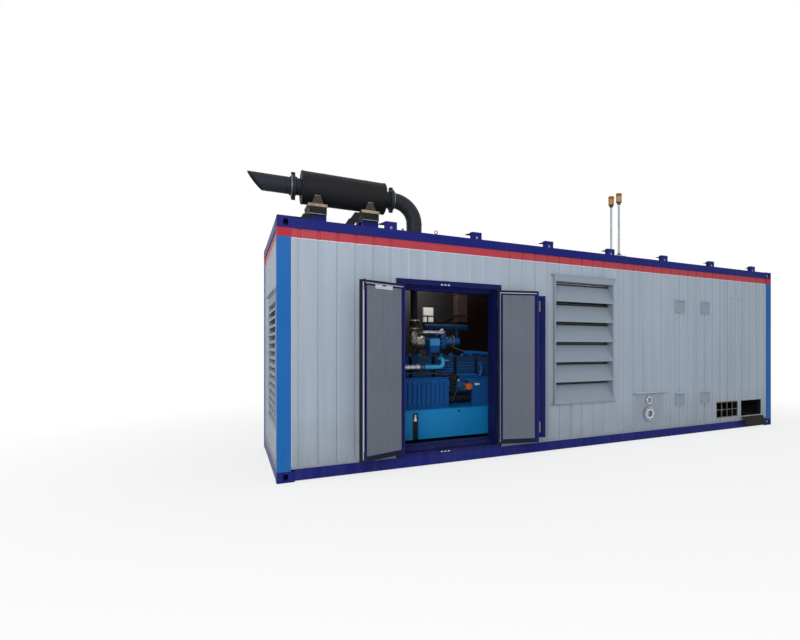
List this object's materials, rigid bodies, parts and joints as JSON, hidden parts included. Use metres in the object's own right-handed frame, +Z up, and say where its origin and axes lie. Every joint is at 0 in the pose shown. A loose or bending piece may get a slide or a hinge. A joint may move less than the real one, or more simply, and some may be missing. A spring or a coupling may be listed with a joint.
{
  "type": "containerized gas generator set",
  "caption": "Gas engine generator set in a steel container with two service doors, roof silencer, louvres, beacon lights and a gas connection plate.",
  "frame": {"origin": "centre of the foot face of the front left corner casting", "axes": "+X along the container to its right end, +Y from the service side to the back, +Z up"},
  "size_m": [8.784, 2.7417, 3.867],
  "materials": {
    "box_white": "satin",
    "engine_blue": "gloss enamel",
    "engine_dark": "rough",
    "exhaust_black": "matt heat-proof paint",
    "filter_orange": "gloss",
    "fitting_black": "matt",
    "fitting_steel": "zinc plated",
    "floor_steel": "satin",
    "foil_silver": "crumpled foil",
    "frame_blue": "gloss enamel",
    "galvanised": "galvanised",
    "lamp_amber": "clear gloss",
    "lining_grey": "perforated satin sheet",
    "post_blue": "gloss enamel",
    "seal_black": "matt",
    "wall_grey": "satin coated sheet"
  },
  "bodies": {
    "container": {"base_rails": "frame_blue", "floor_joists": "frame_blue", "floor_deck": "floor_steel", "bottom_castings": "frame_blue", "top_castings": "frame_blue", "corner_posts": "post_blue", "top_rails": "frame_blue", "roof_panel": "frame_blue", "front_wall_left": "wall_grey", "front_wall_over_door": "wall_grey", "front_wall_middle": "wall_grey", "front_wall_louvre_bay": "wall_grey", "front_wall_right": "wall_grey", "rear_wall": "wall_grey", "left_end_wall": "wall_grey", "right_end_wall": "wall_grey", "door_frame": "frame_blue", "door_hinge_posts": "frame_blue", "front_louvre": "wall_grey", "end_louvres": "wall_grey", "connection_panel": "wall_grey", "gas_flange": "fitting_steel", "drain_flange": "fitting_steel", "wall_covers": "wall_grey", "cable_grille": "wall_grey", "cable_flap": "seal_black", "roof_brackets": "frame_blue", "silencer_body": "exhaust_black", "tail_pipe": "exhaust_black", "exhaust_elbow": "exhaust_black", "roof_collar": "exhaust_black", "silencer_posts": "frame_blue", "silencer_beams": "exhaust_black", "silencer_cradles": "exhaust_black", "beacon_masts": "galvanised", "beacon_lamps": "lamp_amber", "engine_skid": "engine_blue", "engine_block": "engine_blue", "cylinder_heads": "engine_blue", "intake_manifold": "engine_blue", "exhaust_riser": "exhaust_black", "gas_train": "engine_blue", "gas_mixer": "engine_blue", "starter_motor": "engine_dark", "oil_filter": "filter_orange", "control_boxes": "box_white", "turbocharger": "foil_silver"},
    "left_door": {"left_door_panel": "frame_blue", "left_door_lining": "lining_grey", "left_door_seal": "seal_black", "left_door_hinges": "frame_blue", "left_door_bolts": "fitting_steel"},
    "right_door": {"right_door_panel": "frame_blue", "right_door_lining": "lining_grey", "right_door_seal": "seal_black", "right_door_hinges": "frame_blue", "right_door_latches": "fitting_black"}
  },
  "joints": [
    {"name": "left_door_hinge", "type": "hinge", "parent": "container", "child": "left_door", "pos_m": [1.276, -0.093, 1.2], "axis": [0, 0, 1], "range_deg": [-8, 157]},
    {"name": "right_door_hinge", "type": "hinge", "parent": "container", "child": "right_door", "pos_m": [2.557, -0.093, 1.2], "axis": [0, 0, 1], "range_deg": [-163, 8]}
  ]
}
